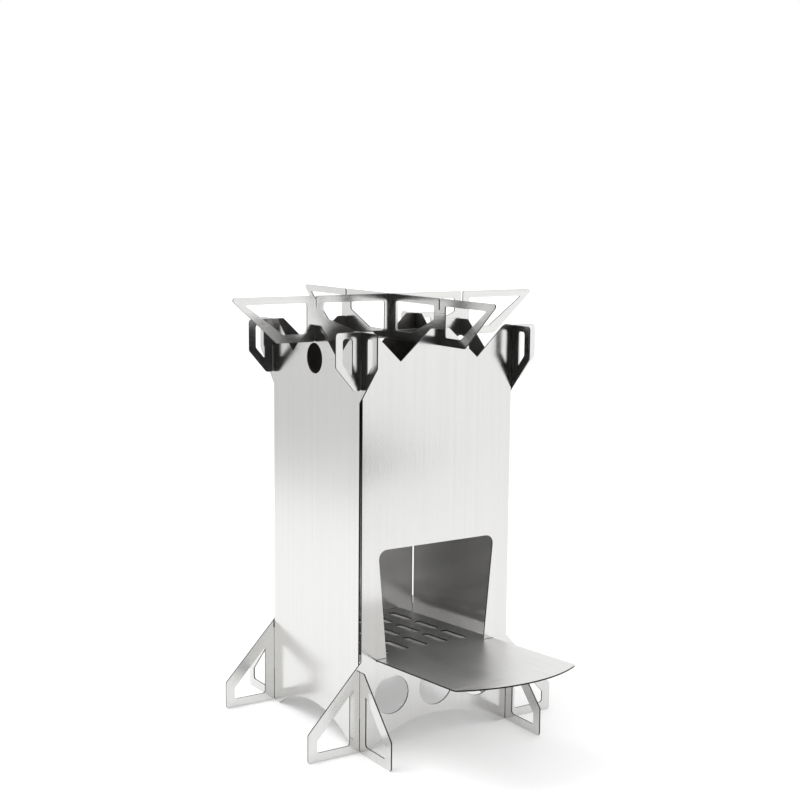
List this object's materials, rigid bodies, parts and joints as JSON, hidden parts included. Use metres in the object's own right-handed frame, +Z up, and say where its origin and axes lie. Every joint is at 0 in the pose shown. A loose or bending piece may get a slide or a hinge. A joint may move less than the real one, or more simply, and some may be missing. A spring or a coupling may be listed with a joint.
{
  "type": "rocket stove",
  "caption": "Flat-pack rocket stove of slotted stainless plates: square chimney on winged feet, fuel tray through the front, crossed pot supports on top.",
  "frame": {"origin": "on the ground, under the centre of the whole stove's bounding box; the chimney's centre line stands 26 mm behind it", "axes": "+Z up, -Y the front with the fuel tray, +X to the right when facing along +Y"},
  "size_m": [0.3002, 0.3532, 0.3701],
  "materials": {
    "front_panel_steel": "satin brushed stainless sheet, vertical grain",
    "back_panel_steel": "satin brushed stainless sheet, vertical grain",
    "left_panel_steel": "satin brushed stainless sheet, vertical grain",
    "right_panel_steel": "satin brushed stainless sheet, vertical grain",
    "fuel_tray_steel": "satin brushed stainless sheet, grain along its length",
    "pot_support_lower_steel": "bright brushed stainless sheet",
    "pot_support_upper_steel": "bright brushed stainless sheet"
  },
  "bodies": {
    "chimney": {"front_panel": "front_panel_steel", "back_panel": "back_panel_steel", "left_panel": "left_panel_steel", "right_panel": "right_panel_steel"},
    "tray": {"fuel_tray": "fuel_tray_steel"},
    "pot_support": {"pot_support_lower": "pot_support_lower_steel", "pot_support_upper": "pot_support_upper_steel"}
  },
  "joints": [
    {"name": "tray_slide", "type": "slide", "parent": "chimney", "child": "tray", "axis": [0, -0.9978, 0.0663], "range_m": [0, 0.14]},
    {"name": "pot_support_lift", "type": "slide", "parent": "chimney", "child": "pot_support", "axis": [0, 0, 1], "range_m": [0, 0.05]}
  ]
}
